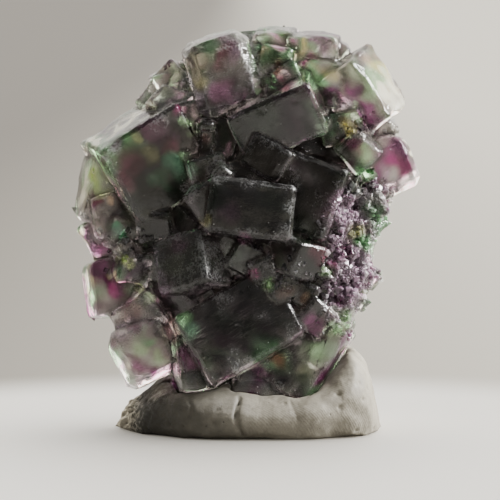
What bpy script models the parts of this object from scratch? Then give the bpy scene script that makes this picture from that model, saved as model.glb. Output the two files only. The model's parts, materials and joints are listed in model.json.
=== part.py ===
"""Fluorite crystal cluster standing in a lump of putty.

Metres, +Z up, +X to the right, the best side faces -Y. The origin lies on the surface that the
putty rests on, under the middle of the cluster.
"""

import math
import random
from collections import namedtuple

import bmesh
import bpy
from mathutils import Euler, Matrix, Vector, noise

MM = 0.001

# Driving dimensions, in millimetres
CORE_RADII = (25.0, 10.0, 30.0)
CORE_CENTRE = (-1.0, 1.5, 41.0)
CORE_DETAIL = 3
BEVEL = 0.55
SOCKET_GAP = 0.3

PUTTY_LEFT = -25.2
PUTTY_RIGHT = 25.6
PUTTY_DETAIL = 4
PUTTY_UNDERSIDE = 0.42
PUTTY_HEIGHT = ((-25.2, 1.6), (-22.5, 4.6), (-18.5, 7.0), (-15.5, 9.6), (-11.0, 10.6), (-3.0, 10.8),
                (4.0, 9.4), (10.0, 9.2), (14.5, 11.4), (19.5, 15.8), (22.6, 13.0), (24.6, 8.0), (25.6, 4.4))
PUTTY_HALF_DEPTH = ((-25.2, 2.0), (-22.5, 7.5), (-18.0, 12.5), (-10.0, 17.0), (2.0, 18.2),
                    (12.0, 17.6), (19.0, 15.4), (23.5, 12.6), (25.6, 9.5))
PUTTY_ARCH = 0.8
PUTTY_END_TAPER = 2.2
PUTTY_FLAT = 1.0
PUTTY_WOBBLE = 0.5
PUTTY_SIDE_WOBBLE = 1.5
PUTTY_WOBBLE_SCALE = 9.0

# Crystals over the back: how many, their size, and how they sit on the core
BACK_CRYSTALS = 26
BACK_SIZE = (7.0, 11.5)
BACK_DEPTH = 1.2
BACK_START = 0.12
BACK_BOTTOM = -0.9
BACK_JUT = 0.10
BACK_DRAW_IN = 0.16
BACK_PUSH = 3.2
BACK_FACING = (0.8, 1.0, 0.6)
BACK_LEAN = 40
BACK_WOBBLE = 16

# Crust of small crystals: it runs down the right side and narrows downwards
CRUST_CRYSTALS = 64
CRUST_SIZE = (1.9, 3.6)
CRUST_DEPTH = 2.4
CRUST_TOP = 47.5
CRUST_HEIGHT = 26.0
CRUST_EDGE = 25.2
CRUST_NARROWING = 7.0
CRUST_WIDTH = 11.0
CRUST_GATHER = 1.3
CRUST_MIDDLE = 13.0
CRUST_FRONT = -10.5
CRUST_CURVE = 8.5
CRUST_ROUGHNESS = 0.8

# Small crystals in the gaps of the front
GAP_CRYSTALS = 58
GAP_SIZE = (4.2, 6.6)
GAP_DEPTH = 1.5
GAP_START = -0.34
GAP_REACH = 1.12
GAP_LEAN = 45
GAP_WOBBLE = 20

# Colours, linear
CRYSTAL_COLOUR = (0.24, 0.20, 0.27, 1.0)
PUTTY_COLOUR = (0.47, 0.44, 0.36, 1.0)

# A crystal is placed by the middle of its front face. It is turned about its upright edge (positive
# shows its left side), tipped towards the front (positive shows its top), then leant clockwise.
Crystal = namedtuple("Crystal", "name at size turn tip lean bevel", defaults=(BEVEL,))

FRONT_CRYSTALS = (
    # Middle of the front
    Crystal("centre", (0.9, -17.2, 42.9), (16.4, 11.0, 10.6), 7, -8, 6, 0.8),
    Crystal("centre_tip", (-6.6, -15.6, 43.4), (7.6, 8.0, 8.3), -12, 4, -33),
    Crystal("centre_peak", (-4.6, -15.0, 48.6), (3.6, 6.0, 3.6), 8, 4, 42),
    Crystal("centre_left", (-12.9, -14.0, 32.8), (11.8, 10.5, 10.6), -35, -16, -9, 0.7),
    Crystal("bottom_centre", (-1.2, -14.6, 21.1), (20.2, 14.0, 14.8), 9, -9, -31, 0.6),
    Crystal("bottom_foot", (-9.2, -13.2, 14.2), (6.8, 12.0, 10.8), 14, -10, -8, 0.6),
    Crystal("upper_centre", (5.6, -11.0, 57.7), (17.0, 14.0, 10.6), -10, 14, -26, 0.7),
    Crystal("right_centre", (10.4, -11.5, 45.0), (13.2, 15.0, 14.2), -12, 4, 20, 0.7),
    Crystal("middle_wedge", (11.6, -14.0, 32.4), (7.6, 9.0, 7.2), 38, 5, 22),
    # Left side
    Crystal("upper_left", (-15.9, -9.5, 50.5), (17.5, 16.0, 17.0), 15, 12, -28, 0.7),
    Crystal("left_rim", (-25.6, -4.5, 45.4), (9.2, 11.0, 14.0), 14, 5, 14),
    Crystal("left_shelf", (-24.2, -6.5, 41.8), (9.4, 10.0, 8.0), 18, -10, -20),
    Crystal("left_stack", (-26.8, -3.5, 35.8), (8.2, 11.0, 9.4), -10, 0, -28),
    Crystal("left_lower", (-24.9, -5.0, 27.4), (8.6, 12.0, 11.2), 12, -8, -8),
    Crystal("lower_left_upper", (-20.4, -6.5, 21.2), (9.8, 12.0, 7.8), -10, 10, -36),
    Crystal("lower_left", (-18.7, -8.0, 15.9), (11.8, 13.0, 11.6), 10, -8, -27, 1.5),
    Crystal("left_gap_green", (-23.4, -7.5, 36.8), (6.2, 8.0, 6.0), 10, 15, 22),
    Crystal("left_gap_clear", (-23.0, -9.0, 34.0), (3.8, 7.0, 4.6), -14, 0, -32),
    Crystal("left_gap_low", (-20.8, -8.0, 30.4), (6.6, 9.0, 6.4), 20, 8, 14),
    Crystal("left_gap_dark", (-17.6, -9.5, 38.6), (7.0, 9.0, 5.6), -16, 10, -12),
    # Top
    Crystal("top_left", (-4.1, -8.5, 66.9), (12.9, 13.0, 14.2), 4, 6, -15, 1.9),
    Crystal("top_back", (5.0, -2.0, 71.8), (8.0, 9.0, 6.4), -8, 8, -6),
    Crystal("top_clear", (-12.2, 0.5, 64.6), (9.0, 8.0, 8.4), 8, 6, -27),
    Crystal("top_right_block", (12.0, -4.0, 71.2), (9.8, 10.0, 6.2), -6, 6, 3),
    Crystal("top_right_lower", (13.2, -4.8, 65.6), (8.4, 11.0, 8.8), -14, 4, 8),
    Crystal("top_right_small", (17.3, 0.5, 70.8), (4.2, 6.0, 4.2), 6, 6, 26),
    Crystal("top_brown_tall", (4.8, -6.4, 68.4), (6.4, 9.0, 8.6), -12, 0, 10),
    Crystal("top_brown_lean", (8.2, -7.4, 65.4), (5.6, 9.0, 7.8), 14, 6, -24),
    Crystal("top_brown_low", (5.4, -8.4, 62.6), (5.2, 8.0, 4.8), 4, 10, 15),
    # Right side
    Crystal("right_top", (19.6, -6.5, 62.2), (9.8, 11.0, 14.0), -28, 2, -34, 0.7),
    Crystal("right_top_under", (17.8, -7.2, 57.2), (8.6, 9.0, 6.0), -6, 4, -14),
    Crystal("right_magenta", (27.2, -4.8, 49.7), (10.2, 11.0, 11.0), 14, 8, -20, 1.5),
    Crystal("right_inner", (20.4, -9.0, 52.8), (6.4, 10.0, 7.2), -8, 0, -42),
    Crystal("right_white", (26.6, -1.5, 56.2), (4.4, 7.0, 4.4), 10, 5, 20),
    Crystal("right_rim_upper", (21.6, -5.5, 42.6), (8.4, 11.0, 7.4), -10, 6, -24),
    Crystal("right_rim_middle", (19.0, -7.0, 36.4), (8.2, 11.0, 8.4), -10, 0, 12),
    Crystal("right_rim_lower", (16.6, -7.5, 30.2), (8.0, 11.0, 7.6), -8, 8, -20),
    Crystal("right_rim_foot", (15.6, -7.0, 24.2), (8.6, 11.0, 8.4), -10, -6, 16),
    Crystal("right_inner_low", (14.8, -10.0, 38.4), (7.4, 10.0, 7.4), 12, 10, 34),
    # Bottom
    Crystal("lower_right", (10.6, -11.0, 15.8), (11.2, 13.0, 17.6), -12, -8, 32, 0.7),
    Crystal("lower_right_cap", (13.0, -13.0, 21.8), (6.6, 8.0, 6.6), 20, 4, 40),
    Crystal("lower_right_outer", (14.2, -7.5, 17.6), (6.0, 11.0, 12.6), -14, -4, 26),
    Crystal("bottom_right", (4.8, -11.0, 11.6), (13.4, 13.0, 11.8), 6, -14, 14, 0.7),
    # Small blocks in the recesses
    Crystal("recess_post", (-7.4, -9.0, 54.8), (3.2, 8.0, 9.0), 0, -4, 1),
    Crystal("recess_cap", (-7.4, -9.8, 57.6), (3.6, 7.0, 2.2), 6, 0, 2),
    Crystal("recess_back", (-4.0, -8.0, 55.2), (5.0, 8.0, 8.0), -10, 0, 12),
    Crystal("recess_magenta", (-11.0, -6.6, 59.8), (5.2, 8.0, 4.8), 8, 4, -10),
    Crystal("recess_low", (-6.6, -10.0, 49.2), (7.4, 8.0, 6.4), 12, 8, -16),
    Crystal("recess_right", (3.4, -11.6, 51.8), (8.4, 8.0, 6.8), -8, 6, 28),
    Crystal("hollow_left", (-3.4, -12.2, 33.8), (5.4, 8.0, 7.6), -8, 6, 12),
    Crystal("hollow_middle", (-0.2, -12.8, 33.0), (6.2, 8.0, 6.2), 16, 8, 30),
    Crystal("hollow_magenta", (2.9, -13.4, 30.8), (5.2, 8.0, 5.2), -10, 14, -22),
    Crystal("hollow_right", (7.2, -13.2, 27.6), (6.2, 8.0, 5.2), 12, 10, -30),
    Crystal("hollow_rusty", (10.6, -12.8, 26.4), (4.8, 8.0, 4.8), -14, 6, 18),
)


def clear_scene():
    for obj in list(bpy.data.objects):
        bpy.data.objects.remove(obj, do_unlink=True)


def new_collection(name):
    collection = bpy.data.collections.new(name)
    bpy.context.scene.collection.children.link(collection)
    return collection


def plain_material(name, colour, roughness):
    material = bpy.data.materials.new(name)
    material.use_nodes = True
    shader = material.node_tree.nodes["Principled BSDF"]
    shader.inputs["Base Color"].default_value = colour
    shader.inputs["Roughness"].default_value = roughness
    shader.inputs["Metallic"].default_value = 0.0
    return material


def as_object(name, bm, collection, hidden=False):
    mesh = bpy.data.meshes.new(name)
    bm.to_mesh(mesh)
    bm.free()
    obj = bpy.data.objects.new(name, mesh)
    collection.objects.link(obj)
    if hidden:
        obj.hide_render = True
        obj.display_type = "WIRE"
    return obj


def crystal_matrix(crystal):
    """Turn about the upright edge, tip forwards, lean clockwise, then hang the block behind its front."""
    spin = Euler((math.radians(crystal.tip), math.radians(crystal.lean), math.radians(crystal.turn)), "ZXY")
    behind_front = Matrix.Translation((0.0, crystal.size[1] * MM / 2, 0.0))
    return Matrix.Translation(Vector(crystal.at) * MM) @ spin.to_matrix().to_4x4() @ behind_front


def crystal_block(crystal, collection, grow=0.0):
    """One cube-like crystal with narrow flats along its edges; grow moves every face outwards."""
    bm = bmesh.new()
    bmesh.ops.create_cube(bm, size=1.0)
    side = [length * MM + 2 * grow * MM for length in crystal.size]
    bmesh.ops.scale(bm, vec=side, verts=bm.verts)
    if crystal.bevel:
        bmesh.ops.bevel(bm, geom=bm.edges[:], offset=crystal.bevel * MM, segments=1, affect="EDGES")
    bmesh.ops.transform(bm, matrix=crystal_matrix(crystal), verts=bm.verts)
    return as_object(crystal.name, bm, collection, hidden=True)


def facing(direction, spin, wobble, rng):
    """Turn, tip and lean for a block whose front faces along direction."""
    turn = math.degrees(math.atan2(direction.x, -direction.y))
    tip = math.degrees(math.asin(max(-1.0, min(1.0, direction.z))))
    return turn + rng.uniform(-wobble, wobble), -tip + rng.uniform(-wobble, wobble), spin


def on_core(direction, out=1.0):
    """The point of the core's surface in a direction, pushed out by a factor, in millimetres."""
    return tuple(c + r * d * out for c, r, d in zip(CORE_CENTRE, CORE_RADII, direction))


def spiral_directions(count):
    """Evenly spread directions over a sphere."""
    golden = math.pi * (3.0 - math.sqrt(5.0))
    for i in range(count):
        height = 1.0 - 2.0 * (i + 0.5) / count
        ring = math.sqrt(1.0 - height * height)
        yield Vector((ring * math.cos(golden * i), ring * math.sin(golden * i), height))


def back_crystals():
    """Cubes over the back, which the best side hides."""
    rng = random.Random(5)
    for i, way in enumerate(spiral_directions(2 * BACK_CRYSTALS)):
        if way.y < BACK_START or way.z < BACK_BOTTOM:
            continue
        side = rng.uniform(*BACK_SIZE)
        reach = 1.0 + BACK_JUT * rng.random() - BACK_DRAW_IN * (1.0 - way.y)
        at = on_core(way, reach)
        at = (at[0], at[1] + BACK_PUSH * way.y, at[2])
        outward = (way * Vector(BACK_FACING)).normalized()
        turn, tip, lean = facing(outward, rng.uniform(-BACK_LEAN, BACK_LEAN), BACK_WOBBLE, rng)
        size = (side, side * BACK_DEPTH, side * rng.uniform(0.8, 1.1))
        yield Crystal(f"back_{i}", at, size, turn, tip, lean)


def holds(crystal, spot):
    """Whether a point, in millimetres, lies inside a crystal."""
    inside = crystal_matrix(crystal).inverted() @ (Vector(spot) * MM)
    return all(abs(part) < length * MM / 2 for part, length in zip(inside, crystal.size))


def gap_crystals():
    """Small cubes on the front of the core, which fill the gaps between the big ones."""
    rng = random.Random(11)
    for i, way in enumerate(spiral_directions(2 * GAP_CRYSTALS)):
        if way.y > GAP_START:
            continue
        side = rng.uniform(*GAP_SIZE)
        turn, tip, lean = facing(way, rng.uniform(-GAP_LEAN, GAP_LEAN), GAP_WOBBLE, rng)
        at = on_core(way, GAP_REACH)
        if not any(holds(crystal, at) for crystal in FRONT_CRYSTALS):
            yield Crystal(f"gap_{i}", at, (side, side * GAP_DEPTH, side), turn, tip, lean, 0.0)


def crust_crystals():
    """The sugary crust of small cubes down the right side."""
    rng = random.Random(23)
    for i in range(CRUST_CRYSTALS):
        down = (i + 0.5) / CRUST_CRYSTALS
        z = CRUST_TOP - CRUST_HEIGHT * down
        edge = CRUST_EDGE - CRUST_NARROWING * down
        x = edge - CRUST_WIDTH * rng.random() ** CRUST_GATHER
        bulge = ((x - CRUST_MIDDLE) / CRUST_MIDDLE) ** 2
        y = CRUST_FRONT + CRUST_CURVE * bulge + rng.uniform(-CRUST_ROUGHNESS, CRUST_ROUGHNESS)
        side = rng.uniform(*CRUST_SIZE)
        yield Crystal(f"crust_{i}", (x, y, z), (side, side * CRUST_DEPTH, side * rng.uniform(0.8, 1.15)),
                      rng.uniform(-45, 25), rng.uniform(-20, 25), rng.uniform(-45, 45), 0.0)


def core_lump(name, collection, grow=0.0, hidden=False):
    """The solid middle that every crystal grows from."""
    bm = bmesh.new()
    bmesh.ops.create_icosphere(bm, subdivisions=CORE_DETAIL, radius=1.0)
    for vert in bm.verts:
        rough = 1.0 + 0.05 * noise.noise(vert.co * 2.3)
        vert.co = Vector([c + (r * rough + grow) * d for c, r, d in zip(CORE_CENTRE, CORE_RADII, vert.co)]) * MM
    return as_object(name, bm, collection, hidden)


def join_all(obj, collection):
    union = obj.modifiers.new("Grown together", "BOOLEAN")
    union.operation = "UNION"
    union.operand_type = "COLLECTION"
    union.collection = collection
    union.solver = "EXACT"


def outer_skin(bm):
    """Keeps the largest connected skin, which fills any pocket that is closed in between crystals."""
    unseen = set(bm.verts)
    largest = set()
    while unseen:
        island = set()
        front = [unseen.pop()]
        while front:
            vert = front.pop()
            island.add(vert)
            for edge in vert.link_edges:
                other = edge.other_vert(vert)
                if other in unseen:
                    unseen.remove(other)
                    front.append(other)
        if len(island) > len(largest):
            largest = island
    bmesh.ops.delete(bm, geom=[vert for vert in bm.verts if vert not in largest], context="VERTS")


def fluorite_cluster(model, crystals):
    blocks = new_collection("Crystal blocks")
    for crystal in crystals:
        crystal_block(crystal, blocks)
    union = core_lump("Grown from the core", new_collection("Core"), hidden=True)
    join_all(union, blocks)
    bpy.context.view_layer.update()
    bm = bmesh.new()
    bm.from_object(union, bpy.context.evaluated_depsgraph_get())
    outer_skin(bm)
    cluster = as_object("fluorite_cluster", bm, model)
    cluster.data.materials.append(plain_material("Fluorite", CRYSTAL_COLOUR, 0.12))
    return cluster


def along(table, x):
    """Smooth reading of a table of (x, value) pairs."""
    for (x0, v0), (x1, v1) in zip(table, table[1:]):
        if x <= x1:
            t = max(0.0, (x - x0) / (x1 - x0))
            return v0 + (v1 - v0) * t * t * (3.0 - 2.0 * t)
    return table[-1][1]


def putty_point(ball):
    """Moves a point of the unit sphere onto the lump: its X runs along the lump, the rest goes round it."""
    x = PUTTY_LEFT + (PUTTY_RIGHT - PUTTY_LEFT) * (ball.x + 1.0) / 2.0
    ring = math.hypot(ball.y, ball.z) or 1.0
    across, up = ball.y / ring, ball.z / ring
    close = min(1.0, ring * PUTTY_END_TAPER)
    height = max(0.0, (up + PUTTY_UNDERSIDE) / (1.0 + PUTTY_UNDERSIDE)) ** PUTTY_ARCH
    y = across * along(PUTTY_HALF_DEPTH, x) * close
    z = height * along(PUTTY_HEIGHT, x) * close
    wobble = PUTTY_WOBBLE * noise.noise(Vector((x, y, z)) / PUTTY_WOBBLE_SCALE)
    if z > PUTTY_FLAT:
        z += wobble
    return Vector((x, y + wobble * PUTTY_SIDE_WOBBLE * across, z)) * MM


def putty_base(model, crystals):
    bm = bmesh.new()
    bmesh.ops.create_icosphere(bm, subdivisions=PUTTY_DETAIL, radius=1.0)
    for vert in bm.verts:
        vert.co = putty_point(vert.co)
    putty = as_object("putty_base", bm, model)
    socket = new_collection("Socket cutters")
    core_lump("core_socket", socket, grow=SOCKET_GAP, hidden=True)
    top = max(value for _, value in PUTTY_HEIGHT)
    for crystal in crystals:
        if crystal.at[2] - max(crystal.size) < top:
            crystal_block(crystal._replace(name=crystal.name + "_socket"), socket, grow=SOCKET_GAP)
    cut = putty.modifiers.new("Socket", "BOOLEAN")
    cut.operation = "DIFFERENCE"
    cut.operand_type = "COLLECTION"
    cut.collection = socket
    cut.solver = "EXACT"
    putty.data.materials.append(plain_material("Putty", PUTTY_COLOUR, 0.85))
    return putty


def main():
    clear_scene()
    model = new_collection("Fluorite cluster in putty")
    crystals = [*FRONT_CRYSTALS, *back_crystals(), *gap_crystals(), *crust_crystals()]
    fluorite_cluster(model, crystals)
    putty_base(model, crystals)


main()
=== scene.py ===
import json
import math
import random
from collections import namedtuple

import bmesh
import bpy
import numpy as np
from mathutils import Matrix, Vector, noise
from mathutils.bvhtree import BVHTree
from mathutils.kdtree import KDTree

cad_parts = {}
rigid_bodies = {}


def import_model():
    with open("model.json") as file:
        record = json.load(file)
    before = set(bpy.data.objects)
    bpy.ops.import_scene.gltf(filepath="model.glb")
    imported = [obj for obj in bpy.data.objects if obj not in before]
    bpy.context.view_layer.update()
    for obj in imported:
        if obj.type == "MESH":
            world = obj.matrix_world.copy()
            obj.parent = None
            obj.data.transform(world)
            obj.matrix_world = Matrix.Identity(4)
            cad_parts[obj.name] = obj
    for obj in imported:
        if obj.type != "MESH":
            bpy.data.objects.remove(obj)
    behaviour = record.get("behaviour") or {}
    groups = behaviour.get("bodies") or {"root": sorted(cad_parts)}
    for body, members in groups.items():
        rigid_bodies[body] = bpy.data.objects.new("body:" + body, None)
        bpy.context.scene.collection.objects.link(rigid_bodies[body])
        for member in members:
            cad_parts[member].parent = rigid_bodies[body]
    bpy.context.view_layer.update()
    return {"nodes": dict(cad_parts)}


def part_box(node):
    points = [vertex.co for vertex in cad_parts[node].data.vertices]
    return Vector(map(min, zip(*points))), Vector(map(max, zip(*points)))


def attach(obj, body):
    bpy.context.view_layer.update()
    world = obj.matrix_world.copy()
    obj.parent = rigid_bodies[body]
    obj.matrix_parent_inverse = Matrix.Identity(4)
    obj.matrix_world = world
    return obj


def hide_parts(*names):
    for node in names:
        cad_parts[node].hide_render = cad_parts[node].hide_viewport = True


MM = 0.001

# Camera: the photograph's frame, from the front and a little above
VIEW_WIDTH = 95.0 * MM
VIEW_DISTANCE = 0.5
VIEW_ELEVATION = math.radians(5.0)
VIEW_TARGET = Vector((0.57 * MM, 0.0, 33.77 * MM))
SENSOR = 36.0

# Cluster: its middle and half its size, across and up
CLUSTER_MIDDLE = (-1.0 * MM, 41.0 * MM)
CLUSTER_HALF = (31.0 * MM, 35.0 * MM)

# Meshes
NOISE_SEED = 5
WELD = 0.002 * MM
REFINE_ROUNDS = 8
FINE_EDGE = 0.90 * MM
SMOOTH_ANGLE = math.radians(32.0)

# Crystal faces and edges
SAME_FACE = 0.9995
FACE_SEED = 7
GRID_SHIFT = 40
SHARP_ANGLE = math.radians(20.0)
EDGE_STEP = 0.35 * MM
FROST_WIDTH = 2.2 * MM
CREASE_WIDTH = 1.5 * MM
ROUNDED_FROM = 0.75
ROUNDING = 0.35
CHIP_SIZE = 2.0 * MM
CHIP_DEPTH = 0.45 * MM
CHIP_START = 0.12
EROSION_SIZE = 5.0 * MM
EROSION_WIDTH = 3.0 * MM
EROSION_DEPTH = 1.1 * MM
EROSION_START = -0.1
WARP_SIZE = 5.0 * MM
WARP_DEPTH = 0.22 * MM

# Crystal material
CRYSTAL_IOR = 1.434
ABSORPTION_COLOUR = (0.50, 0.44, 0.50, 1.0)
ABSORPTION_DENSITY = 100.0
MILK_REACH = 4.0 * MM
MILKIEST = 0.65
# Near black crevice colour: dirt with painted shade between the crystals
CREVICE_DIRT_AND_SHADE = (0.010, 0.007, 0.005, 1.0)
STAIN = (0.62, 0.48, 0.36, 1.0)
PALE_FROST = (0.95, 0.95, 0.93, 1.0)
DARK_FROST = (0.05, 0.05, 0.051, 1.0)
GREY_FROST = (0.15, 0.15, 0.152, 1.0)
SPECK_WHITE = (0.40, 0.40, 0.385, 1.0)

# Druse of tiny cubes
DRUSE_SEED = 23
DRUSE_SIZE = (0.35 * MM, 1.15 * MM)
DRUSE_SINK = 0.45
DRUSE_LOWEST = 12.0 * MM
DRUSE_LEAN = (0.2, 1.0)
DRUSE_STRETCH = (0.75, 1.1)
DRUSE_CHAMFER = 0.08
DRUSE_MILK_REACH = 1.5 * MM
DRUSE_GREY = (0.3, 0.3, 0.3, 1.0)
FROSTING = (0.10, 0.08, 0.10)
CRUST_SPREAD = 0.33
CRUST_FRONT = -15.5 * MM
RAY_START = -0.1
CREVICE_CUBES = 500
CREVICE_START = 2.0 * MM
CREVICE_LARGEST = 0.7 * DRUSE_SIZE[1]
# Painted glints: lightness added to a few crust cubes in front, more of them on the right rim
PAINTED_GLINT = 0.3
PAINTED_GLINT_FROM = 0.97
RIM_PAINTED_GLINT_FROM = 0.85
RIM_START = 22.0 * MM

# Putty
PUTTY_SEED = 3
PUTTY_COARSE = 1.3 * MM
PUTTY_EDGE = 0.6 * MM
PUTTY_FOOT = 0.05 * MM
PUTTY_FADE = 0.8 * MM
PUTTY_FRONT = -6.0 * MM
PUTTY_SMOOTH_ANGLE = math.radians(70.0)
LUMP_SIZE = 5.0 * MM
LUMP_DEPTH = 0.45 * MM
DIMPLE_SIZE = 1.7 * MM
DIMPLE_DEPTH = 0.12 * MM
TORN_END = -19.5 * MM
TORN_REACH = 3.5 * MM
TORN_SIZE = 1.1 * MM
TORN_DEPTH = 1.1 * MM
CREASE_HALF = 0.5 * MM
PIT_COUNT = 70
PIT_RADIUS = (0.3 * MM, 0.6 * MM)
PUTTY_DARK = (0.118, 0.106, 0.080, 1.0)
PUTTY_LIGHT = (0.175, 0.160, 0.125, 1.0)
PUTTY_CRUMB = (0.30, 0.28, 0.23, 1.0)
PUTTY_SPECK = (0.06, 0.052, 0.04, 1.0)
# Pale colour of painted back light at the torn end
PUTTY_PAINTED_BACKLIGHT = (0.26, 0.235, 0.18, 1.0)

# Studio
LIT_POINT = (0.0, 0.0, 0.042)
SUN_POWER = 3.6
SUN_SPREAD = math.radians(60.0)
SUN_TURN = (math.radians(-18.0), math.radians(12.0), 0.0)
SUN_COLOUR = (1.0, 0.985, 0.96)
SKY_COLOUR = (1.0, 0.97, 0.915, 1.0)
FLOOR_REACH = 40.0
FLOOR_CELLS = 80
FLOOR_FLAT = 1.5
FLOOR_RISE = 4.0
FLOOR_PALE = (0.93, 0.905, 0.845, 1.0)
# The far floor's painted shade at the left and painted light at the right
FLOOR_SHADED_LEFT = (0.125, 0.108, 0.083, 1.0)
FLOOR_LIT_RIGHT = (0.69, 0.65, 0.56, 1.0)

# The pale pool of the floor and how far its painted shade at the left and painted light at the right reach,
# in millimetres
PALE_SHIFT = (0.0, 60.0, 0.0)
PALE_EDGE = (104.0, 142.0)
FLOOR_SHADE_SIDES = (-170.0, 190.0)

# Without a fixed seed the vector noise would differ from run to run
noise.seed_set(NOISE_SEED)

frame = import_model()


def smoothstep(low, high, x):
    t = np.clip((x - low) / (high - low), 0.0, 1.0)
    return t * t * (3.0 - 2.0 * t)


# Node helpers

class Nodes:
    """A material's or world's node tree, with one short method for each kind of step."""

    def __init__(self, tree):
        self.tree = tree

    def add(self, kind, inputs=None, **settings):
        node = self.tree.nodes.new(kind)
        for key, value in settings.items():
            setattr(node, key, value)
        for key, value in (inputs or {}).items():
            self.put(node.inputs[key], value)
        return node

    def put(self, socket, value):
        if isinstance(value, bpy.types.NodeSocket):
            self.tree.links.new(value, socket)
        else:
            socket.default_value = value

    def math(self, operation, a, b=0.0):
        return self.add("ShaderNodeMath", {0: a, 1: b}, operation=operation).outputs[0]

    def ramp(self, value, low, high, to_low=0.0, to_high=1.0):
        inputs = {"Value": value, "From Min": low, "From Max": high, "To Min": to_low, "To Max": to_high}
        return self.add("ShaderNodeMapRange", inputs, interpolation_type="SMOOTHSTEP").outputs["Result"]

    def mix(self, factor, a, b, blend="MIX"):
        node = self.add("ShaderNodeMix", data_type="RGBA", blend_type=blend)
        sockets = [s for s in node.inputs if s.enabled]
        for socket, value in zip(sockets, (factor, a, b)):
            self.put(socket, value)
        return [s for s in node.outputs if s.enabled][0]

    def scaled(self, vector, factor):
        node = self.add("ShaderNodeVectorMath", {0: vector, "Scale": factor}, operation="SCALE")
        return node.outputs["Vector"]

    def place(self):
        """Object coordinates in millimetres."""
        return self.scaled(self.add("ShaderNodeTexCoord").outputs["Object"], 1.0 / MM)

    def noise(self, vector, scale=1.0, detail=3.0, rough=0.55):
        inputs = {"Vector": vector, "Scale": scale, "Detail": detail, "Roughness": rough}
        return self.add("ShaderNodeTexNoise", inputs).outputs["Fac"]

    def cells(self, vector, scale=1.0, distance="EUCLIDEAN"):
        return self.add("ShaderNodeTexVoronoi", {"Vector": vector, "Scale": scale}, distance=distance)

    def stretched(self, vector, across, along, turn=0.0):
        node = self.add("ShaderNodeMapping", {"Vector": vector})
        node.inputs["Scale"].default_value = (across, along, 1.0)
        node.inputs["Rotation"].default_value = (0.0, 0.0, turn)
        return node.outputs["Vector"]

    def attribute(self, name):
        return self.add("ShaderNodeAttribute", attribute_name=name).outputs

    def bump(self, height, depth, strength=1.0, under=None):
        inputs = {"Height": height, "Distance": depth, "Strength": strength}
        node = self.add("ShaderNodeBump", inputs)
        if under:
            self.tree.links.new(under, node.inputs["Normal"])
        return node.outputs["Normal"]


def new_material(name):
    material = bpy.data.materials.new(name)
    material.use_nodes = True
    nodes = Nodes(material.node_tree)
    shader = material.node_tree.nodes["Principled BSDF"]
    out = material.node_tree.nodes["Material Output"]
    return material, nodes, shader, out


# Mesh helpers

def welded(node_name):
    """A bmesh copy of a CAD node's mesh, with its split corners joined again."""
    bm = bmesh.new()
    bm.from_mesh(frame["nodes"][node_name].data)
    bmesh.ops.remove_doubles(bm, verts=bm.verts, dist=WELD)
    return bm


def refine(bm, longest):
    """Halves every edge longer than the given length, round after round, until none is left."""
    for _ in range(REFINE_ROUNDS):
        long_edges = [e for e in bm.edges if e.calc_length() > longest]
        if not long_edges:
            break
        bmesh.ops.subdivide_edges(bm, edges=long_edges, cuts=1)
        bmesh.ops.triangulate(bm, faces=[f for f in bm.faces if len(f.verts) > 3])


def smooth(bm, verts, factor):
    axes = {"use_axis_x": True, "use_axis_y": True, "use_axis_z": True}
    bmesh.ops.smooth_vert(bm, verts=verts, factor=factor, **axes)


def new_object(name, bm):
    mesh = bpy.data.meshes.new(name)
    bm.to_mesh(mesh)
    bm.free()
    obj = bpy.data.objects.new(name, mesh)
    bpy.context.scene.collection.objects.link(obj)
    return obj


def set_values(obj, name, values):
    attribute = obj.data.attributes.new(name, "FLOAT", "POINT")
    attribute.data.foreach_set("value", np.asarray(values, np.float32))


def set_colours(obj, name, colours):
    attribute = obj.data.color_attributes.new(name, "FLOAT_COLOR", "POINT")
    rgba = np.ones((len(colours), 4), np.float32)
    rgba[:, :3] = colours
    attribute.data.foreach_set("color", rgba.ravel())


# Colours of the zones and clouds
PURPLE = (0.17, 0.013, 0.105)
DEEP = (0.05, 0.006, 0.03)
MAROON = (0.13, 0.015, 0.035)
MAGENTA = (0.46, 0.02, 0.20)
MAUVE = (0.50, 0.31, 0.44)
PINK = (0.96, 0.55, 0.72)
GREEN = (0.26, 0.88, 0.28)
PALE_GREEN = (0.58, 0.95, 0.46)
SAGE = (0.50, 0.62, 0.40)
MOSS = (0.055, 0.075, 0.045)
FOREST = (0.07, 0.25, 0.11)
OLIVE = (0.46, 0.48, 0.18)
TURQUOISE = (0.16, 0.95, 0.42)
LIME = (0.62, 0.95, 0.14)
YELLOW = (0.95, 0.86, 0.28)
STRAW = (0.60, 0.64, 0.36)
CREAM = (0.98, 0.94, 0.72)
STONE = (0.80, 0.76, 0.67)
TAN = (0.90, 0.60, 0.34)
BROWN = (0.17, 0.09, 0.08)
RUST = (0.42, 0.17, 0.06)
ASH = (0.19, 0.18, 0.18)
SLATE = (0.10, 0.105, 0.105)
SHADE = (0.085, 0.03, 0.07)
# Near black for painted shade, where no light comes through the crystal
PAINTED_SHADE_BLACK = (0.003, 0.0035, 0.003)
SMOKE = (0.70, 0.69, 0.62)
ORCHID = (0.32, 0.08, 0.21)
DUSK = (0.20, 0.13, 0.165)
CLEAR = (0.62, 0.62, 0.58)

# How dark the painted shade of the thick heart is, where that shade ends in front and behind, and the
# zones' wavy borders
PAINTED_HEART_SHADE = 0.06
HEART_EDGE = 0.60
HEART_EDGE_BEHIND = 0.38
ZONE_WARP = 1.0
ZONE_WARP_BEHIND = 3.0
ZONE_WARP_SIZE = 3.0 * MM
ZONE_RISE = 1.6
ZONE_FRONT = -2.0 * MM
ZONE_BACK = 7.0 * MM
FACES_FRONT = -13.0 * MM

# A zone's soft border and the light window behind a bright one, in radii
ZONE_BORDER = (0.3, 1.5)
WINDOW_BORDER = (1.0, 3.5)
WINDOW_CLEAR = 0.45
BRIGHT_ZONE = 0.5

Cloud = namedtuple("Cloud", "colour size shift level")

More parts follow.
